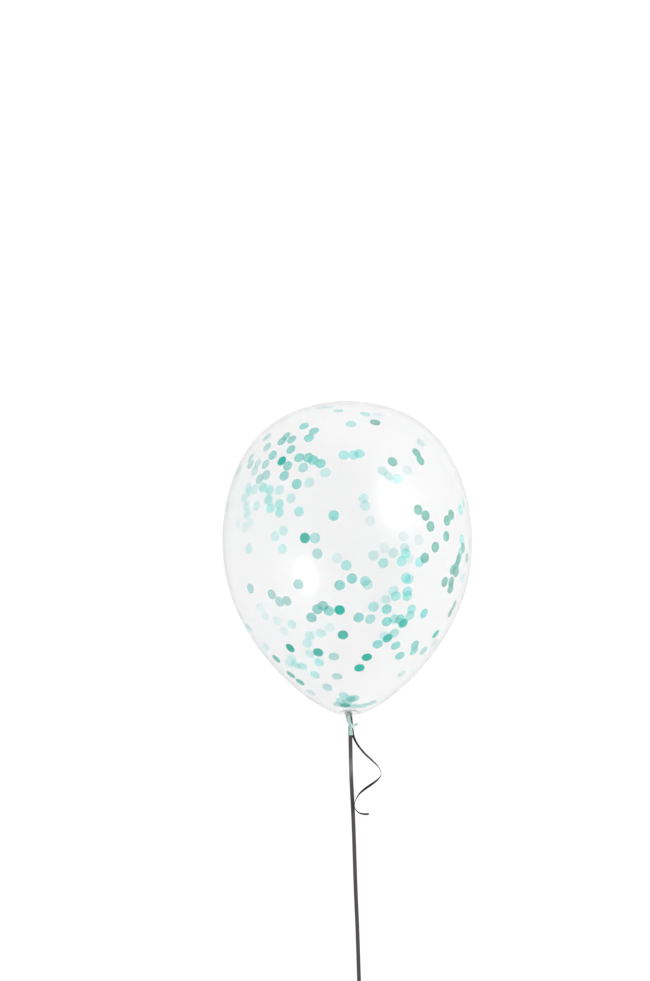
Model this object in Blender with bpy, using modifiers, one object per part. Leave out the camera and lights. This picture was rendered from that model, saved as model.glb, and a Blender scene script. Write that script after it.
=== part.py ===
"""A confetti balloon lying on its side, with the ribbon that is knotted round its neck.

The latex is one piece from the crown to the lip. The ribbon is three more: a tie round the neck, a long
run that drops to the floor and ends in a flat knot, and a short curl. Units are metres and +Z is up. The
balloon's long axis runs along Y with the crown at +Y, and the origin is the centre of the small flat spot
that it rests on.
"""

import math

import bmesh
import bpy
import numpy as np
from mathutils import Matrix, Vector

# Latex body: its size, and its egg shape as shares of the radius
BODY_LENGTH = 0.3784
BODY_DIAMETER = 0.300
CROWN_FULLNESS = 0.12
MIDDLE_FULLNESS = -0.06
NECK_TAPER = 0.18
BODY_TURNS = 64
BODY_RINGS = 32

# Flat spot where the latex rests, and the pucker that the tie pulls into the neck end
REST_DEPTH = 0.0018
PUCKER_RADIUS = 0.0150
PUCKER_FLOOR_RADIUS = 0.0070
PUCKER_DEPTH = 0.0050
PUCKER_RINGS = 5

# Neck and its knot, outside the body
NECK_RADIUS = 0.0026
NECK_LENGTH = 0.0125
NECK_SWAY = 0.0019
NECK_ROOT = 0.0040
KNOT_RADIUS = 0.0029

# Lip below the knot: its open mouth with a rolled rim, and the flap that the knot squeezes out sideways
MOUTH_LENGTH = 0.0115
MOUTH_WIDTH = 0.0050
RIM_BEAD = 0.0011
FLAP_LENGTH = 0.0107
FLAP_WIDTH = 0.0028
FLAP_RISE = 0.0027
LIP_FLATNESS = 0.62

# Ribbon, 3/16 inch wide
RIBBON_WIDTH = 0.0048
RIBBON_THICKNESS = 0.0005
TIE_WIDTH = 0.0036
TIE_WRAP = 0.0012
TIE_INSET = 0.0022
TIE_KNOT_SIZE = 0.0052
TIE_KNOT_TURN = 28.0
TAIL_LENGTH = 0.0140
END_LAYERS = 4
GAP = 0.0003

# Places along the ribbon, in metres, each with its roll in degrees: 0 lies flat and 90 stands on edge
RUN_ROUTE = [
    (0.0008, -0.2170, 0.1233, 0),
    (0.0007, -0.2300, 0.1195, 0),
    (0.0008, -0.2450, 0.1092, 0),
    (0.0009, -0.2580, 0.0920, 0),
    (0.0011, -0.2675, 0.0710, 0),
    (0.0013, -0.2755, 0.0480, 0),
    (0.0016, -0.2845, 0.0265, 0),
    (0.0020, -0.2965, 0.0105, 0),
    (0.0026, -0.3110, 0.0028, 0),
    (0.0032, -0.3270, 0.0004, 0),
    (0.0041, -0.3620, 0.0003, 0),
    (0.0052, -0.4200, 0.0003, 0),
    (0.0067, -0.4700, 0.0003, 0),
    (0.0077, -0.5200, 0.0003, 0),
    (0.0083, -0.5500, 0.0003, 0),
]
CURL_ROUTE = [
    (0.0020, -0.2175, 0.1192, 20),
    (0.0040, -0.2287, 0.1138, 50),
    (0.0085, -0.2390, 0.1062, 58),
    (0.0139, -0.2470, 0.0970, 58),
    (0.0192, -0.2535, 0.0870, 58),
    (0.0257, -0.2602, 0.0745, 60),
    (0.0334, -0.2690, 0.0575, 72),
    (0.0374, -0.2765, 0.0440, 84),
    (0.0373, -0.2831, 0.0330, 84),
    (0.0324, -0.2890, 0.0235, 66),
    (0.0248, -0.2950, 0.0150, 58),
    (0.0186, -0.2995, 0.0100, 60),
    (0.0116, -0.3057, 0.0062, 70),
    (0.0071, -0.3129, 0.0042, 82),
    (0.0052, -0.3200, 0.0035, 88),
    (0.0066, -0.3258, 0.0031, 80),
    (0.0102, -0.3293, 0.0028, 70),
    (0.0145, -0.3310, 0.0026, 62),
    (0.0227, -0.3312, 0.0024, 56),
]
RUN_SPACING = 0.0110
CURL_SPACING = 0.0065

LATEX_COLOUR = (0.86, 0.93, 0.91, 1.0)
RIBBON_COLOUR = (0.10, 0.085, 0.088, 1.0)


def clear_scene():
    """Removes every object that is in the file."""
    for item in list(bpy.data.objects):
        bpy.data.objects.remove(item, do_unlink=True)


def new_collection(name):
    """A collection of the scene."""
    collection = bpy.data.collections.new(name)
    bpy.context.scene.collection.children.link(collection)
    return collection


def make_material(name, colour, roughness):
    """A plain non-metal finish."""
    material = bpy.data.materials.new(name)
    material.use_nodes = True
    shader = material.node_tree.nodes["Principled BSDF"]
    shader.inputs["Base Color"].default_value = colour
    shader.inputs["Roughness"].default_value = roughness
    shader.inputs["Metallic"].default_value = 0.0
    return material


def add_object(name, data, collection, material=None):
    """Links new data into a collection as an object."""
    item = bpy.data.objects.new(name, data)
    collection.objects.link(item)
    if material:
        data.materials.append(material)
    return item


def add_shape(name, shape, collection, material=None):
    """Turns a bmesh into a smooth object in world places."""
    bmesh.ops.recalc_face_normals(shape, faces=shape.faces)
    mesh = bpy.data.meshes.new(name)
    shape.to_mesh(mesh)
    shape.free()
    mesh.shade_smooth()
    return add_object(name, mesh, collection, material)


def egg_radius(share):
    """The body's radius where share is 1 at the crown, 0 halfway and -1 at the neck end."""
    bulge = 1.0 + CROWN_FULLNESS * share + MIDDLE_FULLNESS * share**2 + NECK_TAPER * share**3
    return np.sqrt(np.maximum(0.0, 1.0 - share**2)) * bulge


def egg_outline(count):
    """Places down the outline from the crown, as radius and distance along the axis from halfway."""
    share = np.cos(np.linspace(0.0, math.pi, count))
    widest = egg_radius(np.linspace(-1.0, 1.0, 4001)).max()
    return 0.5 * BODY_DIAMETER * egg_radius(share) / widest, 0.5 * BODY_LENGTH * share


def balance():
    """The lean of the axis when the egg lies at rest, and the place of its halfway point."""
    radius, along = egg_outline(4001)
    slices = radius**2 * np.abs(np.gradient(along))
    centroid = float((slices * along).sum() / slices.sum())
    distance = np.hypot(along - centroid, radius)
    distance[radius < 0.8 * radius.max()] = np.inf
    touch = int(distance.argmin())
    lean = math.asin((centroid - along[touch]) / distance[touch])
    forward = along[touch] * math.cos(lean) + radius[touch] * math.sin(lean)
    height = radius[touch] * math.cos(lean) - along[touch] * math.sin(lean)
    return lean, Vector((0.0, -forward, height - REST_DEPTH))


LEAN, HALFWAY = balance()
CROWNWARD = Vector((0.0, math.cos(LEAN), math.sin(LEAN)))
UPWARD = Vector((0.0, -math.sin(LEAN), math.cos(LEAN)))
ACROSS = Vector((1.0, 0.0, 0.0))


def neck_place(across, up, out):
    """A place by the neck: out is the distance beyond the body's end, along its axis."""
    return HALFWAY - CROWNWARD * (0.5 * BODY_LENGTH + out) + UPWARD * up + ACROSS * across


def axes_at(place, along, thin):
    """A frame whose Z runs along one direction and whose Y is the thin way across it."""
    along = along.normalized()
    side = thin.cross(along).normalized()
    matrix = Matrix((side, along.cross(side), along)).transposed().to_4x4()
    matrix.translation = place
    return matrix


def body_profile():
    """The outline from the crown down, with the pucker pressed into the neck end."""
    radius, along = egg_outline(4001)
    rim = int(np.argmax((along < 0.0) & (radius < PUCKER_RADIUS)))
    floor = int(np.argmax((along < 0.0) & (radius < PUCKER_FLOOR_RADIUS)))
    rows = list(np.linspace(0, rim, BODY_RINGS).astype(int))
    rows += list(np.linspace(rim, floor, PUCKER_RINGS + 1).astype(int))[1:]
    points = []
    for row in rows:
        share = np.clip((PUCKER_RADIUS - radius[row]) / (PUCKER_RADIUS - PUCKER_FLOOR_RADIUS), 0.0, 1.0)
        dent = 0.0 if row < rim else PUCKER_DEPTH * 0.5 * (1.0 - math.cos(math.pi * share))
        points.append((float(radius[row]), float(along[row]) + dent))
    points[0] = (0.0, points[0][1])
    points.append((0.0, points[-1][1]))
    return points


def turned(name, points, turns, collection, material=None):
    """A profile turned about its own Z by a Screw modifier."""
    mesh = bpy.data.meshes.new(name)
    edges = [(index, index + 1) for index in range(len(points) - 1)]
    mesh.from_pydata([(radius, 0.0, height) for radius, height in points], edges, [])
    item = add_object(name, mesh, collection, material)
    screw = item.modifiers.new("turn", "SCREW")
    screw.steps = turns
    screw.render_steps = turns
    screw.use_merge_vertices = True
    screw.merge_threshold = 0.00002
    screw.use_smooth_shade = True
    return item


def boolean(item, other, operation):
    """Joins another object to this one, or cuts it away."""
    step = item.modifiers.new(other.name, "BOOLEAN")
    step.operation = operation
    step.object = other
    step.solver = "EXACT"
    other.hide_render = True
    other.display_type = "WIRE"


def tube_mesh(name, places, radii, collection):
    """A capped tube through the places, as a mesh that a boolean can use."""
    curve = bpy.data.curves.new(name, "CURVE")
    curve.dimensions = "3D"
    curve.bevel_depth = 1.0
    curve.bevel_resolution = 2
    curve.use_fill_caps = True
    spline = curve.splines.new("POLY")
    spline.points.add(len(places) - 1)
    for point, place, radius in zip(spline.points, places, radii):
        point.co = (*place, 1.0)
        point.radius = radius
    guide = add_object(name, curve, collection)
    bpy.context.view_layer.update()
    mesh = bpy.data.meshes.new_from_object(guide.evaluated_get(bpy.context.evaluated_depsgraph_get()))
    bpy.data.objects.remove(guide, do_unlink=True)
    shape = bmesh.new()
    shape.from_mesh(mesh)
    bmesh.ops.remove_doubles(shape, verts=shape.verts, dist=0.00001)
    return add_shape(name, shape, collection)


def neck_line(out):
    """Sideways place of the neck's middle: it sways left where it is tied, then right to its knot."""
    share = out / NECK_LENGTH
    return NECK_SWAY * (-1.0 + 0.25 * share + 1.17 * share**2)


def neck_tube(cutters):
    """The gathered neck, from inside the body to its knot."""
    outs = np.linspace(-PUCKER_DEPTH - NECK_ROOT, NECK_LENGTH, 8)
    places = [neck_place(neck_line(max(out, -PUCKER_DEPTH)), 0.0, out) for out in outs]
    return tube_mesh("neck_tube", places, [NECK_RADIUS] * len(places), cutters)


def neck_knot(cutters):
    """The neck's overhand knot, a squashed ball."""
    shape = bmesh.new()
    bmesh.ops.create_uvsphere(shape, u_segments=14, v_segments=9, radius=KNOT_RADIUS)
    place = neck_place(neck_line(NECK_LENGTH), 0.0, NECK_LENGTH)
    squash = Matrix.Diagonal((1.0, 0.86, 0.92, 1.0))
    bmesh.ops.transform(shape, matrix=axes_at(place, -CROWNWARD, UPWARD) @ squash, verts=shape.verts)
    return add_shape("neck_knot", shape, cutters)


def lip_cone(name, start, end, root_radius, end_radius, cutters):
    """A flattened cone of latex from the knot outwards."""
    shape = bmesh.new()
    length = (end - start).length
    bmesh.ops.create_cone(
        shape, cap_ends=True, segments=14, radius1=root_radius, radius2=end_radius, depth=length
    )
    flatten = Matrix.Diagonal((1.0, LIP_FLATNESS, 1.0, 1.0))
    frame = axes_at((start + end) / 2, end - start, UPWARD)
    bmesh.ops.transform(shape, matrix=frame @ flatten, verts=shape.verts)
    return add_shape(name, shape, cutters)


def lip_rim(start, end, cutters):
    """The rolled rim round the mouth."""
    points = []
    major = 0.5 * MOUTH_WIDTH - 0.3 * RIM_BEAD
    for index in range(8):
        angle = -2.0 * math.pi * index / 8
        points.append((major + 0.5 * RIM_BEAD * math.cos(angle), 0.5 * RIM_BEAD * math.sin(angle)))
    points.append(points[0])
    rim = turned("lip_rim", points, 14, cutters)
    flatten = Matrix.Diagonal((1.0, LIP_FLATNESS, 1.0, 1.0))
    rim.matrix_world = axes_at(end, end - start, UPWARD) @ flatten
    return rim


def build_balloon(parts, cutters):
    """The latex: body, pucker, neck, knot and lip as one solid, flat where it rests."""
    latex = make_material("clear_latex", LATEX_COLOUR, 0.25)
    balloon = turned("balloon", body_profile(), BODY_TURNS, parts, latex)
    balloon.matrix_world = axes_at(HALFWAY, CROWNWARD, -UPWARD)
    knot = neck_place(neck_line(NECK_LENGTH), 0.0, NECK_LENGTH)
    mouth = knot + ACROSS * 0.0006 - CROWNWARD * MOUTH_LENGTH
    flap = knot + ACROSS * FLAP_LENGTH + CROWNWARD * FLAP_RISE
    boolean(balloon, neck_tube(cutters), "UNION")
    boolean(balloon, neck_knot(cutters), "UNION")
    boolean(balloon, lip_cone("lip_mouth", knot, mouth, 0.36 * MOUTH_WIDTH, 0.5 * MOUTH_WIDTH, cutters), "UNION")
    boolean(balloon, lip_rim(knot, mouth, cutters), "UNION")
    boolean(balloon, lip_cone("lip_flap", knot, flap, 0.5 * FLAP_WIDTH, 0.25 * FLAP_WIDTH, cutters), "UNION")
    shape = bmesh.new()
    bmesh.ops.create_cube(shape, size=BODY_DIAMETER)
    bmesh.ops.translate(shape, vec=(0.0, 0.0, -0.5 * BODY_DIAMETER), verts=shape.verts)
    boolean(balloon, add_shape("floor_cutter", shape, cutters), "DIFFERENCE")


def smooth_route(route, spacing):
    """Places at even steps along a smooth curve through the route's own places."""
    rows = np.array(route)
    rows = np.vstack([2 * rows[0] - rows[1], rows, 2 * rows[-1] - rows[-2]])
    fine = []
    for before, start, end, after in zip(rows[:-3], rows[1:-2], rows[2:-1], rows[3:]):
        for step in np.linspace(0.0, 1.0, 20, endpoint=False):
            bend = 2 * before - 5 * start + 4 * end - after
            twist = -before + 3 * start - 3 * end + after
            fine.append(0.5 * (2 * start + (end - before) * step + bend * step**2 + twist * step**3))
    fine = np.array(fine + [rows[-2]])
    walked = np.concatenate([[0.0], np.cumsum(np.linalg.norm(np.diff(fine[:, :3], axis=0), axis=1))])
    even = np.linspace(0.0, walked[-1], round(walked[-1] / spacing) + 1)
    return np.stack([np.interp(even, walked, column) for column in fine.T], axis=1)


def ribbon_strip(name, route, spacing, collection, material):
    """A flat strip along a route: a curve with a slot-shaped section, closed at both ends."""
    curve = bpy.data.curves.new(name, "CURVE")
    curve.dimensions = "3D"
    curve.twist_mode = "Z_UP"
    curve.extrude = 0.5 * (RIBBON_WIDTH - RIBBON_THICKNESS)
    curve.bevel_depth = 0.5 * RIBBON_THICKNESS
    curve.bevel_resolution = 0
    curve.use_fill_caps = True
    places = smooth_route(route, spacing)
    spline = curve.splines.new("POLY")
    spline.points.add(len(places) - 1)
    for point, (x, y, z, roll) in zip(spline.points, places):
        lowest = 0.5 * RIBBON_WIDTH * math.sin(math.radians(roll)) + 0.5 * RIBBON_THICKNESS
        point.co = (x, y, max(z, lowest), 1.0)
        point.tilt = math.radians(90.0 + roll)
    return add_object(name, curve, collection, material)


def tie_knot_place():
    """Middle of the tie's knot, as across, up and out: under the neck and a little to the right."""
    reach = NECK_RADIUS + GAP + TIE_WRAP + 0.34 * TIE_KNOT_SIZE
    turn = math.radians(TIE_KNOT_TURN)
    across = neck_line(-TIE_INSET) + reach * math.sin(turn)
    return across, -reach * math.cos(turn), 0.3 * TIE_KNOT_SIZE - TIE_INSET


def tie_exit(up):
    """Where a ribbon leaves the front of the tie's knot, a little above or below its middle."""
    across, knot_up, out = tie_knot_place()
    return (*neck_place(across, knot_up + up, out + 0.5 * TIE_KNOT_SIZE + GAP), 0)


def build_tie(parts, cutters, material):
    """The ribbon wound round the neck's root, with its knot underneath."""
    inner = NECK_RADIUS + GAP
    outer = inner + TIE_WRAP
    half = 0.5 * TIE_WIDTH
    bevel = 0.25 * TIE_WRAP
    points = [
        (inner, half),
        (outer - bevel, half),
        (outer, half - bevel),
        (outer, bevel - half),
        (outer - bevel, -half),
        (inner, -half),
        (inner, half),
    ]
    tie = turned("ribbon_tie", points, 24, parts, material)
    tie.matrix_world = axes_at(neck_place(neck_line(-TIE_INSET), 0.0, -TIE_INSET), CROWNWARD, UPWARD)
    shape = bmesh.new()
    bmesh.ops.create_uvsphere(shape, u_segments=16, v_segments=10, radius=0.5 * TIE_KNOT_SIZE)
    squash = Matrix.Diagonal((1.08, 0.9, 1.0, 1.0))
    frame = axes_at(neck_place(*tie_knot_place()), CROWNWARD, UPWARD)
    bmesh.ops.transform(shape, matrix=frame @ squash, verts=shape.verts)
    boolean(tie, add_shape("tie_knot", shape, cutters), "UNION")


def build_end_knot(parts, cutters, material, route):
    """The flat five-sided knot at the ribbon's far end, with the short tail that leaves it."""
    last = Vector(route[-1][:3])
    heading = (last - Vector(route[-2][:3])).normalized()
    side = RIBBON_WIDTH / math.sin(math.radians(72))
    corner_radius = 0.5 * side / math.sin(math.radians(36))
    face_distance = 0.5 * side / math.tan(math.radians(36))
    height = END_LAYERS * 0.5 * RIBBON_THICKNESS
    centre = last + heading * (face_distance + GAP)
    centre.z = 0.5 * height
    facing = math.atan2(-heading.y, -heading.x)
    shape = bmesh.new()
    bmesh.ops.create_cone(
        shape, cap_ends=True, segments=5, radius1=corner_radius, radius2=corner_radius, depth=height
    )
    turn = Matrix.Rotation(facing + math.radians(36) - first_corner(shape), 4, "Z")
    bmesh.ops.transform(shape, matrix=Matrix.Translation(centre) @ turn, verts=shape.verts)
    bmesh.ops.bevel(
        shape, geom=shape.edges[:], offset=0.15 * height, segments=1, affect="EDGES", clamp_overlap=True
    )
    knot = add_shape("ribbon_end_knot", shape, parts, material)
    leaving = facing + math.radians(144)
    shape = bmesh.new()
    bmesh.ops.create_cube(shape, size=1.0)
    length = TAIL_LENGTH + face_distance
    scale = Matrix.Diagonal((length, 0.96 * RIBBON_WIDTH, RIBBON_THICKNESS, 1.0))
    middle = centre + Vector((math.cos(leaving), math.sin(leaving), 0.0)) * 0.5 * length
    middle.z = 0.5 * height
    frame = Matrix.Translation(middle) @ Matrix.Rotation(leaving, 4, "Z")
    bmesh.ops.transform(shape, matrix=frame @ scale, verts=shape.verts)
    boolean(knot, add_shape("knot_tail", shape, cutters), "UNION")


def first_corner(shape):
    """The angle of the corner nearest to +X, round the Z axis."""
    angles = [math.atan2(vert.co.y, vert.co.x) for vert in shape.verts]
    return min(angles, key=abs)


def main():
    """Builds the balloon and its ribbon."""
    clear_scene()
    parts = new_collection("confetti_balloon")
    cutters = new_collection("cutters")
    build_balloon(parts, cutters)
    build_tie(parts, cutters, make_material("ribbon_tie", RIBBON_COLOUR, 0.35))
    run = [tie_exit(RIBBON_THICKNESS)] + RUN_ROUTE
    curl = [tie_exit(-1.8 * RIBBON_THICKNESS)] + CURL_ROUTE
    ribbon_strip("ribbon_run", run, RUN_SPACING, parts, make_material("ribbon_run", RIBBON_COLOUR, 0.35))
    ribbon_strip("ribbon_curl", curl, CURL_SPACING, parts, make_material("ribbon_curl", RIBBON_COLOUR, 0.35))
    build_end_knot(parts, cutters, make_material("ribbon_end_knot", RIBBON_COLOUR, 0.35), run)


main()
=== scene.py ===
"""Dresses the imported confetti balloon: clear latex, the paper discs sealed inside it, and its ribbon.

Units are metres and +Z is up. The balloon lies on its side with the crown at +Y and the neck at -Y, and
the camera looks down on it from above. Laid out as an add-on, and run as a script.
"""

import math

import bmesh
import bpy
import numpy as np
from mathutils import Matrix, Vector


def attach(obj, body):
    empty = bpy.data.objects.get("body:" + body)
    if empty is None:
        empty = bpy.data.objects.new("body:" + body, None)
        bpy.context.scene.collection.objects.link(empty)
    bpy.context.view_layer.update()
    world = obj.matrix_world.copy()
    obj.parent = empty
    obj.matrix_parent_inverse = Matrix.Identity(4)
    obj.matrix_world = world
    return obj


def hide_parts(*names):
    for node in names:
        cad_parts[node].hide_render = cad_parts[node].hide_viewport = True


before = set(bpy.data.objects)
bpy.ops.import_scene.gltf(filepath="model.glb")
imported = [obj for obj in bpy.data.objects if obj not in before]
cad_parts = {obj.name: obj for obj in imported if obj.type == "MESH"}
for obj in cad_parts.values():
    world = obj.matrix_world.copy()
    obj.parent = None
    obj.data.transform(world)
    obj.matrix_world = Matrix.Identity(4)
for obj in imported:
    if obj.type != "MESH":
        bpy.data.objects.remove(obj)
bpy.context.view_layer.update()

bl_info = {
    "name": "Confetti Balloon",
    "version": (1, 0, 0),
    "blender": (4, 5, 0),
    "location": "3D View > Sidebar > Balloon",
    "description": "Builds a clear latex balloon with paper confetti inside and a curling ribbon on its neck",
    "category": "Add Mesh",
}

TAB = "Balloon"

# Latex body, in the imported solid's own sizes. The turns and rings are this script's, and finer.
BODY_LENGTH = 0.3784
BODY_DIAMETER = 0.300
CROWN_FULLNESS = 0.12
MIDDLE_FULLNESS = -0.06
NECK_TAPER = 0.18
PUCKER_RADIUS = 0.0150
PUCKER_FLOOR_RADIUS = 0.0070
PUCKER_DEPTH = 0.0050
BODY_TURNS = 160
BODY_RINGS = 84
PUCKER_RINGS = 14
OUTLINE_POINTS = 4001

# Gathers pressed into the latex round the neck, in this script only
GATHERS = 13
GATHER_REACH = 0.034
GATHER_DEPTH = 0.0004

# How latex bends light, how the blown wall seems to, and how far the shine on it spreads
LATEX_IOR = 1.52
CLEAR_IOR = 1.17
SHINE_ROUGHNESS = 0.4

# Neck, knot and lip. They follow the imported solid, but for FLAP_DROP and what comes after LIP_FLATNESS.
NECK_RADIUS = 0.0026
NECK_LENGTH = 0.0125
NECK_SWAY = 0.0019
MOUTH_LENGTH = 0.0115
MOUTH_SHIFT = 0.0006
MOUTH_WIDTH = 0.0050
RIM_BEAD = 0.0011
FLAP_LENGTH = 0.0107
FLAP_RISE = 0.0027
FLAP_DROP = 0.0026
LIP_FLATNESS = 0.62
RIM_ROUNDER = 0.04
KNOT_TURN_THICKNESS = 0.0023
SKIN_GRAIN = 0.00022

# Ribbon, 3/16 inch wide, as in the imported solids, and the lengths of its two free parts
RIBBON_WIDTH = 0.0048
SOLID_THICKNESS = 0.0005
TIE_WIDTH = 0.0036
TIE_WRAP = 0.0012
TIE_INSET = 0.0022
TIE_KNOT_SIZE = 0.0052
TIE_KNOT_TURN = 28.0
TAIL_LENGTH = 0.0140
END_LAYERS = 4
GAP = 0.0003

# Film, in this script only: its ribs, folds, laps and shine, how the curl leaves the tie and the tail ends
RIB_POINTS = 6
FOLD_DIP = 0.00008
LAP = 0.0002
FILM_SHINE = 0.5
CURL_SHINE = 0.12
CURL_EXIT_DROP = 1.8
TAIL_SHORT = 0.0004

# Tie, in this script only, in metres, radians and shares: its turns, and how narrow the film is pulled
TIE_TURNS = 3.1
TIE_CLEARANCE = 0.00015
TIE_START = 1.2
TIE_WANDER = 0.0006
TIE_NARROWING = 0.72
BAND_NARROWING = 0.55
TIE_RIB_GROWTH = 1.4

# The balloon's own axes where it lies: halfway down its length, towards the crown, and up across it
LEAN = math.radians(4.8424)
HALFWAY = Vector((0.0, -0.014668, 0.146700))
CROWNWARD = Vector((0.0, math.cos(LEAN), math.sin(LEAN)))
UPWARD = Vector((0.0, -math.sin(LEAN), math.cos(LEAN)))
ACROSS = Vector((1.0, 0.0, 0.0))

# Places along the ribbon, each with its roll in degrees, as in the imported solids
RUN_ROUTE = [
    (0.0008, -0.2170, 0.1233, 0),
    (0.0007, -0.2300, 0.1195, 0),
    (0.0008, -0.2450, 0.1092, 0),
    (0.0009, -0.2580, 0.0920, 0),
    (0.0011, -0.2675, 0.0710, 0),
    (0.0013, -0.2755, 0.0480, 0),
    (0.0016, -0.2845, 0.0265, 0),
    (0.0020, -0.2965, 0.0105, 0),
    (0.0026, -0.3110, 0.0028, 0),
    (0.0032, -0.3270, 0.0004, 0),
    (0.0041, -0.3620, 0.0003, 0),
    (0.0052, -0.4200, 0.0003, 0),
    (0.0067, -0.4700, 0.0003, 0),
    (0.0077, -0.5200, 0.0003, 0),
    (0.0083, -0.5500, 0.0003, 0),
]
CURL_ROUTE = [
    (0.0020, -0.2175, 0.1192, 20),
    (0.0040, -0.2287, 0.1138, 50),
    (0.0085, -0.2390, 0.1062, 58),
    (0.0139, -0.2470, 0.0970, 58),
    (0.0192, -0.2535, 0.0870, 58),
    (0.0257, -0.2602, 0.0745, 60),
    (0.0334, -0.2690, 0.0575, 72),
    (0.0374, -0.2765, 0.0440, 84),
    (0.0373, -0.2831, 0.0330, 84),
    (0.0324, -0.2890, 0.0235, 66),
    (0.0248, -0.2950, 0.0150, 58),
    (0.0186, -0.2995, 0.0100, 60),
    (0.0116, -0.3057, 0.0062, 70),
    (0.0071, -0.3129, 0.0042, 82),
    (0.0052, -0.3200, 0.0035, 88),
    (0.0066, -0.3258, 0.0031, 80),
    (0.0102, -0.3293, 0.0028, 70),
    (0.0145, -0.3310, 0.0026, 62),
    (0.0227, -0.3312, 0.0024, 56),
]
RUN_SPACING = 0.0110
CURL_SPACING = 0.0065
STRIP_SPACING = 0.0022

# Confetti: a disc's wall and its paper, and the share of the light that one face of each paper stops
NEAR = 1.0
FAR = -1.0
# Papers from dense to thin, but one of them is painted shade: a darker teal, not a paper of its own, for the
# discs that the softbox lights
DEEP, STRONG, PAINTED_SHADE, MID, LIGHT, PALE, FAINT = "deep", "strong", "dull", "mid", "light", "pale", "faint"
FACE_COVER = {DEEP: 0.94, STRONG: 0.72, PAINTED_SHADE: 0.48, MID: 0.42, LIGHT: 0.31, PALE: 0.20, FAINT: 0.11}

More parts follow.
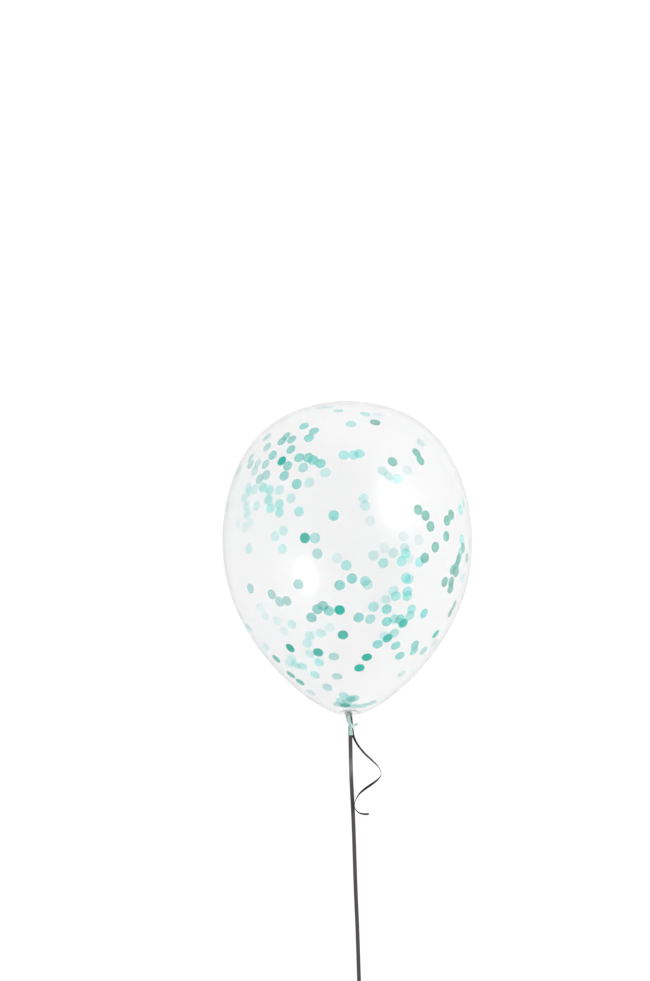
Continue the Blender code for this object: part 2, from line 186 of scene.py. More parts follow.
# Places of the discs: wall, paper, then each disc in millimetres from the balloon's middle as seen
# from above, to the right and towards the crown
CONFETTI = {
    "spray by the crown, on the left": [
        (NEAR, DEEP, (-79, 117)),
        (NEAR, MID, (-52, 159), (-46, 145), (-40, 153), (-79, 141), (-74, 147), (-67, 143), (-68, 131)),
        (NEAR, MID, (-90, 124), (-72, 111), (-76, 99), (-58, 121), (-47, 121), (-41, 118), (-32, 114)),
        (NEAR, MID, (-61, 89)),
        (NEAR, LIGHT, (-53, 109), (-99, 113), (-98, 100), (-106, 95), (-97, 134), (-97, 146), (-116, 121)),
        (NEAR, LIGHT, (-117, 113), (-130, 106), (-11, 178)),
        (NEAR, PALE, (-26, 103), (-108, 114), (-112, 105), (-135, 104), (-31, 182), (-22, 182)),
        (FAR, PALE, (-46, 91)),
    ],
    "pale patch on the left": [
        (FAR, LIGHT, (-102, 85), (-94, 82), (-95, 70), (-93, 60), (-82, 65), (-82, 55), (-58, 56)),
        (FAR, PALE, (-120, 85), (-118, 80), (-124, 73), (-122, 63), (-121, 53), (-112, 83), (-82, 82)),
        (FAR, PALE, (-110, 63), (-68, 72), (-77, 33), (-87, 26), (-119, 11), (-78, 11)),
        (FAR, FAINT, (-132, 42), (-118, 42), (-124, 36)),
        (NEAR, LIGHT, (-145, 61)),
    ],
    "row under the crown": [
        (NEAR, PAINTED_SHADE, (34, 164)),
        (NEAR, LIGHT, (5, 162), (22, 174), (-4, 124), (8, 124), (15, 126)),
        (FAR, FAINT, (38, 173)),
    ],
    "scatter by the crown, on the right": [
        (NEAR, PAINTED_SHADE, (55, 116), (84, 127), (89, 118)),
        (NEAR, PALE, (61, 95)),
        (FAR, PALE, (89, 139), (43, 105), (50, 99), (20, 72), (22, 63)),
        (FAR, FAINT, (73, 106), (28, 45), (56, 92)),
    ],
    "string down the right side": [
        (NEAR, PAINTED_SHADE, (86, 58), (140, 12), (135, -1), (132, -17)),
        (NEAR, PAINTED_SHADE, (121, 45), (95, 51), (101, 38), (126, 52), (120, 26), (107, 13), (133, -8), (128, -14)),
        (NEAR, PAINTED_SHADE, (145, 0), (118, -29), (126, -29), (125, -37), (130, -57), (125, -66)),
        (NEAR, STRONG, (107, -92)),
        (NEAR, MID, (82, -105), (81, -112)),
        (NEAR, LIGHT, (137, 58), (141, 66), (139, 22), (137, 6), (93, -112)),
        (NEAR, PALE, (148, 18), (140, -24)),
        (FAR, PALE, (106, -103)),
    ],
    "middle": [
        (NEAR, STRONG, (-51, 24)),
        (NEAR, MID, (-16, 51), (-9, -33), (6, -25)),
        (NEAR, PAINTED_SHADE, (94, 0)),
        (NEAR, LIGHT, (-39, 24), (-36, 5), (-1, -9), (22, -28), (71, -24), (75, -26), (59, -46), (73, -41)),
        (NEAR, LIGHT, (73, -46), (71, 5), (66, -4), (88, -5)),
        (NEAR, PALE, (25, -32), (56, -40)),
        (FAR, LIGHT, (44, -6)),
        (FAR, PALE, (32, 3), (56, 6), (70, 12), (47, -50)),
        (FAR, FAINT, (-12, 0), (45, 12), (68, 26), (87, 22), (75, -1)),
    ],
    "chains towards the neck": [
        (NEAR, DEEP, (-9, -63), (24, -120), (15, -133), (-69, -109)),
        (NEAR, STRONG, (-5, -93), (-35, -114), (68, -79), (49, -97)),
        (NEAR, MID, (-43, -72), (-36, -62), (-29, -58), (-22, -64), (14, -72), (48, -62), (48, -77)),
        (NEAR, MID, (64, -74), (93, -67), (37, -104), (59, -106), (64, -118)),
        (NEAR, LIGHT, (-59, -32), (-117, -37), (-91, -44), (-82, -53), (-73, -52), (32, -59), (28, -74)),
        (NEAR, LIGHT, (57, -74), (78, -62), (76, -70), (-16, -119), (-12, -143), (57, -91)),
        (FAR, PALE, (45, -94)),
    ],
    "pale discs low on the left": [
        (NEAR, STRONG, (-86, -122), (-68, -141), (-57, -150)),
        (NEAR, MID, (-119, -84), (-130, -67)),
        (NEAR, PALE, (-44, -162), (66, -140)),
        (FAR, LIGHT, (-34, -126), (-39, -141), (-24, -156), (-62, -129), (-54, -131)),
        (FAR, PALE, (-67, -121), (-70, -127), (-45, -94), (-32, -91), (-48, -103), (-45, -116), (-67, -80)),
        (FAR, PALE, (-98, -107)),
        (FAR, FAINT, (-21, -84), (-85, -76), (-76, -88), (-105, -60), (-99, -70)),
    ],
    "pool by the neck": [
        (NEAR, DEEP, (-2, -178)),
        (NEAR, LIGHT, (-11, -177), (9, -179), (20, -178), (30, -175)),
        (FAR, MID, (5, -170)),
        (FAR, LIGHT, (-4, -166), (9, -169), (-8, -173), (0, -174)),
    ],
}
DISC_RADIUS = 0.00635
DISC_SIDES = 16
DISC_THICKNESS = 0.00012
DISC_TILT = 5.0
DISC_INSET = (0.0007, 0.0013)
DYE_CHANGE = 0.12
DISC_SEED = 11

# How near to the ends and the edge of the wall a disc may be placed, and the steps to find its place
ALONG_LIMIT = 0.494
ACROSS_LIMIT = 0.985
PLACE_STEPS = 12

# Camera: straight above, as far off as makes the photograph's flat view, in metres
CAMERA_PLACE = Vector((-0.026, 0.0673, 6.0))
CAMERA_TURN = math.radians(-0.748)
METRES_PER_PIXEL = 0.0012
PHOTO_HEIGHT = 981
SENSOR = 36.0
VIEW_HEIGHT = 0.147
VIEW_MIDDLE = Vector((-0.0006, -0.0140))
FARTHEST_SEEN = 50.0

# Stage: the floor just under the balloon, and where the softbox stands
FLOOR_SIZE = 14.0
FLOOR_DROP = 0.0002
SOFTBOX_AIM = Vector((0.0, 0.0, 0.15))
SOFTBOX_WAY = Vector((0.63, 0.30, 0.65)).normalized()
SOFTBOX_DISTANCE = 1.6


def linear(hex_colour):
    """The linear colour of an sRGB hex value."""
    parts = [int(hex_colour[start : start + 2], 16) / 255 for start in (1, 3, 5)]
    return tuple(c / 12.92 if c <= 0.04045 else ((c + 0.055) / 1.055) ** 2.4 for c in parts)


def add_node(tree, kind, settings=None, values=None, links=None):
    """Adds a node with its settings, its plain input values, and its inputs' links from other outputs."""
    node = tree.nodes.new(kind)
    for name, value in (settings or {}).items():
        setattr(node, name, value)
    for name, value in (values or {}).items():
        node.inputs[name].default_value = value
    for name, output in (links or {}).items():
        tree.links.new(output, node.inputs[name])
    return node


def new_material(name, values):
    """A material on one Principled shader with plain values on its sockets."""
    material = bpy.data.materials.new(name)
    material.use_nodes = True
    shader = material.node_tree.nodes["Principled BSDF"]
    for socket, value in values.items():
        shader.inputs[socket].default_value = value
    return material, material.node_tree, shader


def select_only(*items):
    """Selects these objects alone, the first one active."""
    bpy.ops.object.select_all(action="DESELECT")
    for item in items:
        item.select_set(True)
    bpy.context.view_layer.objects.active = items[0]


def named(name):
    """Names the object that an operator has just made, and its mesh."""
    item = bpy.context.object
    item.name = name
    item.data.name = name
    return item


def move_points(item, move):
    """Moves each vertex of a mesh to where move says that its place goes."""
    select_only(item)
    bpy.ops.object.mode_set(mode="EDIT")
    shape = bmesh.from_edit_mesh(item.data)
    for vertex in shape.verts:
        vertex.co = move(vertex.co)
    bmesh.update_edit_mesh(item.data)
    bpy.ops.object.mode_set(mode="OBJECT")


def apply_step(item, name, kind, **settings):
    """Adds a modifier with its settings and applies it."""
    select_only(item)
    step = item.modifiers.new(name, kind)
    for setting, value in settings.items():
        setattr(step, setting, value)
    bpy.ops.object.modifier_apply(modifier=step.name)


def set_down(item, matrix):
    """Puts a mesh in its place, with the place in the mesh and the object at the origin."""
    select_only(item)
    item.matrix_world = matrix @ item.matrix_world
    bpy.ops.object.transform_apply(location=True, rotation=True, scale=True)


def close_shape(item):
    """Merges doubled points and turns every face outwards."""
    select_only(item)
    bpy.ops.object.mode_set(mode="EDIT")
    bpy.ops.mesh.select_all(action="SELECT")
    bpy.ops.mesh.remove_doubles(threshold=0.000002)
    bpy.ops.mesh.normals_make_consistent(inside=False)
    bpy.ops.object.mode_set(mode="OBJECT")


def join_all(name, items):
    """Joins meshes into one object."""
    select_only(*items)
    if len(items) > 1:
        bpy.ops.object.join()
    return named(name)


def finish_piece(item, material, nodes, smooth=40.0):
    """Gives a finished mesh its material, its body and the nodes that it stands for."""
    select_only(item)
    item.data.materials.clear()
    item.data.materials.append(material)
    bpy.ops.object.shade_smooth_by_angle(angle=math.radians(smooth))
    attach(item, "root")
    if nodes:
        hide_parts(*nodes)


def frame_of(place, side, up, along):
    """A matrix whose X, Y and Z run along three directions from a place."""
    matrix = Matrix((side, up, along)).transposed().to_4x4()
    matrix.translation = place
    return matrix


NECK_FRAME = frame_of(HALFWAY - CROWNWARD * (0.5 * BODY_LENGTH), ACROSS, UPWARD, -CROWNWARD)


def egg_radius(share):
    """The body's radius where share is 1 at the crown, 0 halfway and -1 at the neck end."""
    bulge = 1.0 + CROWN_FULLNESS * share + MIDDLE_FULLNESS * share**2 + NECK_TAPER * share**3
    return np.sqrt(np.maximum(0.0, 1.0 - share**2)) * bulge


EGG_WIDEST = float(egg_radius(np.linspace(-1.0, 1.0, OUTLINE_POINTS)).max())


def radius_at(along):
    """The body's radius at a distance from halfway, towards the crown."""
    share = np.clip(along / (0.5 * BODY_LENGTH), -1.0, 1.0)
    return 0.5 * BODY_DIAMETER * egg_radius(share) / EGG_WIDEST


def body_outline():
    """Radius and height down the body's outline, with the pucker pressed into the neck end."""
    share = np.cos(np.linspace(0.0, math.pi, OUTLINE_POINTS))
    along = 0.5 * BODY_LENGTH * share
    radius = radius_at(along)
    rim = int(np.argmax((along < 0.0) & (radius < PUCKER_RADIUS)))
    floor = int(np.argmax((along < 0.0) & (radius < PUCKER_FLOOR_RADIUS)))
    rows = list(np.linspace(0, rim, BODY_RINGS).astype(int))
    rows += list(np.linspace(rim, floor, PUCKER_RINGS + 1).astype(int))[1:]
    points = []
    for row in rows:
        share = (PUCKER_RADIUS - radius[row]) / (PUCKER_RADIUS - PUCKER_FLOOR_RADIUS)
        share = min(max(share, 0.0), 1.0) if row >= rim else 0.0
        dent = 0.5 * PUCKER_DEPTH * (1.0 - math.cos(math.pi * share))
        points.append((float(radius[row]), float(along[row]) + dent))
    points[0] = (0.0, points[0][1])
    points.append((0.5 * PUCKER_FLOOR_RADIUS, points[-1][1]))
    points.append((0.0, points[-1][1]))
    return points


def spun_skin(name, outline, turns):
    """A skin turned about Z: one point is drawn out along the outline, and the line is spun right round."""
    bpy.ops.object.select_all(action="DESELECT")
    bpy.ops.mesh.primitive_plane_add(size=0.01)
    item = named(name)
    bpy.ops.object.mode_set(mode="EDIT")
    bpy.ops.mesh.select_all(action="SELECT")
    bpy.ops.mesh.merge(type="CENTER")
    bpy.ops.transform.translate(value=(outline[0][0], 0.0, outline[0][1]))
    for (radius, height), (next_radius, next_height) in zip(outline, outline[1:]):
        step = (next_radius - radius, 0.0, next_height - height)
        bpy.ops.mesh.extrude_region_move(TRANSFORM_OT_translate={"value": step})
    bpy.ops.mesh.select_all(action="SELECT")
    bpy.ops.mesh.spin(steps=turns, angle=2.0 * math.pi, center=(0.0, 0.0, 0.0), axis=(0.0, 0.0, 1.0))
    bpy.ops.object.mode_set(mode="OBJECT")
    close_shape(item)
    return item


def gather(place):
    """Presses the gathers into the latex round the neck, fading out up the body."""
    radius = math.hypot(place.x, place.y)
    if place.z > 0.0 or radius > GATHER_REACH:
        return place
    fade = math.sin(math.pi * min(1.0, radius / GATHER_REACH) ** 0.6) ** 2
    angle = math.atan2(place.y, place.x)
    wave = math.cos(GATHERS * angle) + 0.5 * math.cos((2 * GATHERS - 5) * angle + 1.3)
    return place + Vector((0.0, 0.0, GATHER_DEPTH * fade * wave))


def rest_on_floor(item):
    """Flattens what would be under the floor."""
    select_only(item)
    bpy.ops.object.mode_set(mode="EDIT")
    shape = bmesh.from_edit_mesh(item.data)
    for vertex in shape.verts:
        vertex.select = vertex.co.z < 0.0
    shape.select_flush_mode()
    bmesh.update_edit_mesh(item.data)
    bpy.ops.transform.resize(value=(1.0, 1.0, 0.0), center_override=(0.0, 0.0, 0.0))
    bpy.ops.object.mode_set(mode="OBJECT")


def drawn_tube(name, rings, points):
    """A tube drawn out ring by ring. Each ring has its middle, its half width and its half height."""
    bpy.ops.object.select_all(action="DESELECT")
    middle, half_width, half_height = rings[0]
    bpy.ops.mesh.primitive_circle_add(vertices=points, radius=1.0, fill_type="NGON", location=middle)
    item = named(name)
    bpy.ops.object.transform_apply(location=True)
    bpy.ops.object.mode_set(mode="EDIT")
    bpy.ops.mesh.select_all(action="SELECT")
    bpy.ops.transform.resize(value=(half_width, half_height, 1.0), center_override=middle)
    for (last, last_width, last_height), (middle, width, height) in zip(rings, rings[1:]):
        step = [after - before for after, before in zip(middle, last)]
        bpy.ops.mesh.extrude_region_move(TRANSFORM_OT_translate={"value": step})
        scale = (width / last_width, height / last_height, 1.0)
        bpy.ops.transform.resize(value=scale, center_override=middle)
    bpy.ops.object.mode_set(mode="OBJECT")
    close_shape(item)
    return item


def bead_ring(name, major, minor, steps, middle):
    """A ring round Z, with its steps round it and round its own thickness."""
    bpy.ops.object.select_all(action="DESELECT")
    bpy.ops.mesh.primitive_torus_add(
        major_radius=major,
        minor_radius=minor,
        major_segments=steps[0],
        minor_segments=steps[1],
        location=middle,
    )
    return named(name)


def neck_line(out):
    """Sideways place of the neck's middle: it sways left where it is tied, then right to its knot."""
    share = out / NECK_LENGTH
    return NECK_SWAY * (-1.0 + 0.25 * share + 1.17 * share**2)


def neck_middle(out):
    """The middle of the neck or the lip at a distance beyond the body's end, in the neck's own frame."""
    if out <= NECK_LENGTH:
        return (neck_line(max(out, -PUCKER_DEPTH)), 0.0, out)
    share = (out - NECK_LENGTH) / MOUTH_LENGTH
    return (neck_line(NECK_LENGTH) + MOUTH_SHIFT * share, 0.0, out)


def tie_knot_place():
    """Middle of the tie's knot in the neck's frame: under the neck and a little to the right."""
    reach = NECK_RADIUS + GAP + TIE_WRAP + 0.34 * TIE_KNOT_SIZE
    turn = math.radians(TIE_KNOT_TURN)
    across = neck_line(-TIE_INSET) + reach * math.sin(turn)
    return Vector((across, -reach * math.cos(turn), 0.3 * TIE_KNOT_SIZE - TIE_INSET))


def tie_exit(up):
    """Where a ribbon leaves the front of the tie's knot, a little above or below its middle."""
    return NECK_FRAME @ (tie_knot_place() + Vector((0.0, up, 0.5 * TIE_KNOT_SIZE + GAP)))


def smooth_route(route, spacing):
    """Places at even steps along a smooth curve through the route's own places."""
    rows = np.array(route)
    rows = np.vstack([2 * rows[0] - rows[1], rows, 2 * rows[-1] - rows[-2]])
    fine = []
    for before, start, end, after in zip(rows[:-3], rows[1:-2], rows[2:-1], rows[3:]):
        for step in np.linspace(0.0, 1.0, 20, endpoint=False):
            bend = 2 * before - 5 * start + 4 * end - after
            twist = -before + 3 * start - 3 * end + after
            fine.append(0.5 * (2 * start + (end - before) * step + bend * step**2 + twist * step**3))
    return even_steps(np.array(fine + [rows[-2]]), spacing)


def walked_along(places):
    """How far along a line each of its places is."""
    return np.concatenate([[0.0], np.cumsum(np.linalg.norm(np.diff(places, axis=0), axis=1))])


def ways_along(places):
    """The way along a line at each of its places."""
    along = np.gradient(places, axis=0)
    return along / np.linalg.norm(along, axis=1)[:, None]


def even_steps(fine, spacing):
    """The same line with its places at even steps."""
    walked = walked_along(fine[:, :3])
    even = np.linspace(0.0, walked[-1], round(walked[-1] / spacing) + 1)
    return np.stack([np.interp(even, walked, column) for column in fine.T], axis=1)


def ribbon_places(route, spacing):
    """The solid ribbon's own line, with closer places, kept above the floor. Each has its roll."""
    places = smooth_route(route, spacing)
    lowest = 0.5 * RIBBON_WIDTH * np.sin(np.radians(places[:, 3])) + 0.5 * SOLID_THICKNESS
    places[:, 2] = np.maximum(places[:, 2], lowest)
    return smooth_route(places, STRIP_SPACING)


def roll_sides(places):
    """The way across the ribbon at each place: level, then rolled about the ribbon's own line."""
    along = ways_along(places[:, :3])
    level = np.cross((0.0, 0.0, 1.0), along)
    level /= np.linalg.norm(level, axis=1)[:, None]
    upright = np.cross(along, level)
    roll = np.radians(places[:, 3])[:, None]
    return along, level * np.cos(roll) + upright * np.sin(roll)


def ribbon_section(width, thickness, ribs, rib_height):
    """The ribbon's cut end: places across it and up from its middle, ribs pressed through both faces."""
    count = RIB_POINTS * ribs + 1
    across = np.linspace(-0.5, 0.5, count)
    rib = 0.5 * rib_height * np.cos(2.0 * math.pi * ribs * across)
    edge = 0.5 * thickness * np.minimum(1.0, (0.5 - np.abs(across)) * 24.0 + 0.35)
    top = np.stack([across * width, rib + edge], axis=1)
    bottom = np.stack([across * width, rib - edge], axis=1)[::-1]
    return np.vstack([top, bottom])


def ribbon_strip(name, middles, along, sides, section):
    """A flat ribbon: its section is carried along a line, and both ends are closed."""
    ups = np.cross(along, sides)
    rows = []
    for middle, side, up in zip(middles, sides, ups):
        rows.append([middle + side * x + up * y for x, y in section])
    return ribbon_skin(name, rows, section, walked_along(middles) / RIBBON_WIDTH)


def ribbon_skin(name, rows, section, marks):
    """A closed skin over rows of places that share a section. UV holds across, and along by a row's mark."""
    shape = bmesh.new()
    layer = shape.loops.layers.uv.new("along_ribbon")
    rings = [[shape.verts.new(place) for place in row] for row in rows]
    count = len(section)
    for row in range(len(rings) - 1):
        for column in range(count):
            after = (column + 1) % count
            corners = ((row, column), (row, after), (row + 1, after), (row + 1, column))
            face = shape.faces.new([rings[r][c] for r, c in corners])
            for loop, (r, c) in zip(face.loops, corners):
                loop[layer].uv = (section[c][0] / RIBBON_WIDTH + 0.5, marks[r])
    for ring in (rings[0], rings[-1]):
        for column in range(count // 2 - 1):
            across = count - 1 - column
            shape.faces.new([ring[column], ring[column + 1], ring[across - 1], ring[across]])
    bmesh.ops.recalc_face_normals(shape, faces=shape.faces)
    mesh = bpy.data.meshes.new(name)
    shape.to_mesh(mesh)
    shape.free()
    item = bpy.data.objects.new(name, mesh)
    bpy.context.scene.collection.objects.link(item)
    return item


def noise(tree, place, scale, detail):
    """Clouds from 0 to 1 over places."""
    values = {"Scale": scale, "Detail": detail}
    return add_node(tree, "ShaderNodeTexNoise", {}, values, {"Vector": place}).outputs["Fac"]


def stretch(tree, place, scale):
    """Places stretched by a scale for each axis."""
    return add_node(tree, "ShaderNodeMapping", {}, {"Scale": scale}, {"Vector": place}).outputs["Vector"]


def spread(tree, value, before, after):
    """A value carried from one range to another."""
    values = {"From Min": before[0], "From Max": before[1], "To Min": after[0], "To Max": after[1]}
    return add_node(tree, "ShaderNodeMapRange", {}, values, {"Value": value}).outputs["Result"]


def blend(tree, low, high, share):
    """A colour between two."""
    values = {6: (*low, 1.0), 7: (*high, 1.0)}
    return add_node(tree, "ShaderNodeMix", {"data_type": "RGBA"}, values, {0: share}).outputs[2]


def relief(tree, height, strength, distance):
    """A surface bumped by a height."""
    values = {"Strength": strength, "Distance": distance}
    return add_node(tree, "ShaderNodeBump", {}, values, {"Height": height}).outputs["Normal"]


def object_place(tree):
    """Places in the object's own metres."""
    return add_node(tree, "ShaderNodeTexCoord").outputs["Object"]


def join_up(tree, shader, outputs):
    """Links outputs to the shader's sockets."""
    for socket, output in outputs.items():
        tree.links.new(output, shader.inputs[socket])


def ribbon_material(name, base, roughness, shine):
    """Curling ribbon: polypropylene film, extruded, dyed dark and pressed into fine lengthwise ribs.

    The eye gets a dark warm grey with a satin sheen that runs along the ribbon and breaks at its folds.
    The curl has a darker, duller copy of the film: its near-black colour is painted shade.
    curl shows its inner face, which is darker and duller.
    Ribs are real, 0.4 mm apart, and in the mesh. Finer drawing lines from the die are in the bump,
    coarser than life, at 0.15 mm, so that they show.
    """
    values = {"IOR": 1.49, "Metallic": 0.0, "Anisotropic": 0.35, "Specular IOR Level": shine}
    material, tree, shader = new_material(name, values)
    place = add_node(tree, "ShaderNodeUVMap", {"uv_map": "along_ribbon"}).outputs["UV"]
    drawn = noise(tree, stretch(tree, place, (32.0, 0.6, 1.0)), 1.0, 3.0)
    clouds = noise(tree, place, 1.4, 4.0)
    dark = [0.82 * c for c in linear(base)]
    light = [1.2 * c for c in linear(base)]
    outputs = {
        "Base Color": blend(tree, dark, light, clouds),
        "Roughness": spread(tree, drawn, (0.3, 0.7), (roughness - 0.06, roughness + 0.08)),
        "Normal": relief(tree, drawn, 0.35, 0.00006),
    }
    join_up(tree, shader, outputs)
    return material


def clear_latex(tint, roughness, clear, shine):
    """Clear natural rubber latex, dipped and blown up. The thickness of its wall is a guess.

    The eye gets an almost colourless skin that blurs what is behind it a little, with soft, wide
    reflections. Latex has an IOR of 1.52. A wall this thin bends next to nothing, so the clear part has a
    lower one, and the shine is on the coat. It is unevenly thin in bands some 40 mm wide.
    """
    values = {
        "IOR": CLEAR_IOR,
        "Metallic": 0.0,
        "Transmission Weight": clear,
        "Coat Weight": shine,
        "Coat Roughness": SHINE_ROUGHNESS,
        "Coat IOR": LATEX_IOR,
    }
    material, tree, shader = new_material("clear_latex", values)
    thin = noise(tree, object_place(tree), 25.0, 2.0)
    outputs = {
        "Base Color": blend(tree, [0.985 * c for c in tint], tint, thin),
        "Roughness": spread(tree, thin, (0.3, 0.7), (roughness - 0.015, roughness + 0.015)),
    }
    join_up(tree, shader, outputs)
    return material


def gathered_latex(base, shade):
    """The same latex unstretched at the neck and lip, 0.6 mm thick and folded on itself.

    Unblown latex is milky, and the discs' dye shows faintly through it: a soft mint white with a soft shine.
    The folds, 2 mm apart, carry painted highlight as pale streaks on their ridges and painted shade in their
    grooves.
    """
    values = {"IOR": LATEX_IOR, "Metallic": 0.0, "Roughness": 0.34, "Transmission Weight": 0.3}
    material, tree, shader = new_material("gathered_latex", values)
    fold_relief_and_shade = noise(tree, stretch(tree, object_place(tree), (750.0, 90.0, 750.0)), 0.6, 3.0)
    # Painted light and shade: the same marks that raise the folds make their ridges pale and their grooves
    # darker teal
    outputs = {
        "Base Color": blend(tree, shade, base, spread(tree, fold_relief_and_shade, (0.35, 0.62), (0.0, 1.0))),
        "Normal": relief(tree, fold_relief_and_shade, 0.5, 0.0002),
    }
    join_up(tree, shader, outputs)
    return material


def tissue_paper(name, base, rich, cover):
    """Confetti: punched tissue paper, dyed, about 20 grams to the square metre, so it lets light through.

    The eye gets flat matt discs, paler where one lies alone and deeper where two overlap, with cloudy
    fibre marks about 1.5 mm across. Each disc took up a little more or less dye.
    """
    values = {"IOR": 1.5, "Metallic": 0.0, "Roughness": 0.9, "Alpha": cover, "Specular IOR Level": 0.1}
    material, tree, shader = new_material(name, values)
    dye = add_node(tree, "ShaderNodeAttribute", {"attribute_name": "dye"}).outputs["Fac"]
    fibre = noise(tree, object_place(tree), 650.0, 4.0)
    cloud = spread(tree, fibre, (0.0, 1.0), (-0.5, 0.5))
    depth = add_node(tree, "ShaderNodeMath", {"operation": "ADD", "use_clamp": True}, {}, {0: dye, 1: cloud})
    outputs = {
        "Base Color": blend(tree, base, rich, depth.outputs["Value"]),
        "Normal": relief(tree, fibre, 0.3, 0.0001),
    }
    join_up(tree, shader, outputs)
    return material


def film_choice(name, description, default):
    """A choice of a small length, shown to the hundredth of a millimetre."""
    return bpy.props.FloatProperty(
        name=name, description=description, default=default, precision=5, unit="LENGTH"
    )


def colour_choice(name, description, hex_colour):
    """A choice of a colour."""
    return bpy.props.FloatVectorProperty(
        name=name, description=description, default=linear(hex_colour), subtype="COLOR"
    )


class LatexChoices(bpy.types.PropertyGroup):
    """What a user would change of the latex."""

    wall: film_choice("Wall", "Thickness of the blown latex", 0.0003)
    tint: colour_choice("Tint", "Colour of the blown latex", "#F9F9F9")
    roughness: bpy.props.FloatProperty(
        name="Blur", description="How far the blown latex blurs what is behind it", default=0.09
    )
    clear: bpy.props.FloatProperty(
        name="Clearness", description="Share of the light that the latex lets through", default=1.0
    )
    shine: bpy.props.FloatProperty(
        name="Shine", description="Strength of the soft reflections on the blown latex", default=0.5
    )
    neck: colour_choice("Neck", "Colour of the unblown latex", "#E6F2EF")
    # Painted shade: the darker teal painted into the grooves of the neck's folds
    folds: colour_choice("Folds", "Colour down in the neck's folds", "#74BCAF")


class ConfettiChoices(bpy.types.PropertyGroup):
    """What a user would change of the confetti."""

    base: colour_choice("Paper", "Colour of the palest fibres", "#00EBEA")
    rich: colour_choice("Dye", "Colour of the richest fibres", "#00CDB6")
    # Painted shade: a darker teal that stands in for shade on the discs that the softbox lights
    dull: colour_choice("Dull paper", "Colour of the duller discs", "#00B29C")
    cover: bpy.props.FloatProperty(
        name="Cover", description="How much the discs hide, beside what they hide as made", default=1.0
    )
    seed: bpy.props.IntProperty(
        name="Seed", description="Changes how the discs are turned, tilted and dyed", default=DISC_SEED
    )


class RibbonChoices(bpy.types.PropertyGroup):
    """What a user would change of the ribbon."""

    thickness: film_choice("Thickness", "Thickness of the film", 0.00022)
    ribs: bpy.props.IntProperty(name="Ribs", description="Ribs across the ribbon", default=11)
    rib_height: film_choice("Rib height", "Height of a rib", 0.00008)
    colour: bpy.props.StringProperty(
        name="Colour", description="Colour of the film as an sRGB hex value", default="#3A3234"
    )
    # Painted shade: a near-black copy of the film's colour, used for the whole curl, where the same film is
    # seen at a slant
    back: bpy.props.StringProperty(
        name="Back", description="Colour of the film's inner face as an sRGB hex value", default="#0E0C0D"
    )
    roughness: bpy.props.FloatProperty(
        name="Satin", description="How far the film spreads a reflection", default=0.34
    )


class StudioChoices(bpy.types.PropertyGroup):
    """What a user would change of the floor and the light."""

    floor: colour_choice("Floor", "Colour of the floor", "#707070")
    table: bpy.props.FloatProperty(
        name="Light table", description="Strength of the light through the floor", default=0.88
    )
    sky: bpy.props.FloatProperty(name="Fill", description="Strength of the light from all round", default=1.0)
    softbox_size: bpy.props.FloatProperty(
        name="Softbox", description="Width of the round softbox", default=0.75, unit="LENGTH"
    )
    softbox_power: bpy.props.FloatProperty(
        name="Softbox power", description="Power of the softbox", default=18.0, unit="POWER"
    )


class BALLOON_OT_camera(bpy.types.Operator):
    """Sets up the camera straight above the balloon."""

    bl_idname = "balloon.camera"
    bl_label = "Camera"

    def execute(self, context):
        bpy.ops.object.select_all(action="DESELECT")
        bpy.ops.object.camera_add(location=CAMERA_PLACE, rotation=(0.0, 0.0, CAMERA_TURN))
        camera = named("camera")
        camera.data.sensor_fit = "AUTO"
        camera.data.sensor_width = SENSOR
        distance = CAMERA_PLACE.z - VIEW_HEIGHT
        camera.data.lens = SENSOR * distance / (PHOTO_HEIGHT * METRES_PER_PIXEL)
        camera.data.clip_end = FARTHEST_SEEN
        context.scene.camera = camera
        return {"FINISHED"}


def end_knot_layers(route_end, heading, film, section):
    """The flat five-sided knot: the ribbon folded over itself, one layer on each of four diagonals."""
    side = RIBBON_WIDTH / math.sin(math.radians(72))
    corner_radius = 0.5 * side / math.sin(math.radians(36))
    face_distance = 0.5 * side / math.tan(math.radians(36))
    height = END_LAYERS * 0.5 * SOLID_THICKNESS
    centre = route_end + heading * (face_distance - LAP)
    facing = math.atan2(-heading.y, -heading.x)
    corners = []
    for index in range(5):
        angle = facing + math.radians(36 + 72 * index)
        out = Vector((math.cos(angle), math.sin(angle), 0.0))
        corners.append(Vector((centre.x, centre.y, 0.0)) + out * corner_radius)
    layers = []
    lowest = 0.5 * film + FOLD_DIP
    pitch = (height - 2.0 * lowest) / (END_LAYERS - 1)
    for layer, first in enumerate((4, 1, 3, 0)):
        names = [corners[(first + step) % 5] for step in range(4)]
        layers.append(knot_layer(names, lowest + layer * pitch, section, layer))
    leaving = facing + math.radians(144)
    away = Vector((math.cos(leaving), math.sin(leaving), 0.0))
    return layers, centre, away, face_distance, height


def knot_layer(corners, height, section, number):
    """One layer of the flat knot: the ribbon between two folds, four of the pentagon's corners."""
    near_start, far_start, far_end, near_end = corners
    rows = []
    shares = (0.0, 0.06, 0.5, 0.94, 1.0)
    for share in shares:
        dip = -FOLD_DIP if share in (0.0, 1.0) else 0.0
        row = []
        for x, y in section:
            across = x / RIBBON_WIDTH + 0.5
            left = near_start.lerp(far_start, 1.0 - across)
            right = near_end.lerp(far_end, 1.0 - across)
            place = left.lerp(right, share)
            row.append(Vector((place.x, place.y, height + y + dip)))
        rows.append(row)
    return ribbon_skin(f"end_knot_layer_{number}", rows, section, range(len(shares)))


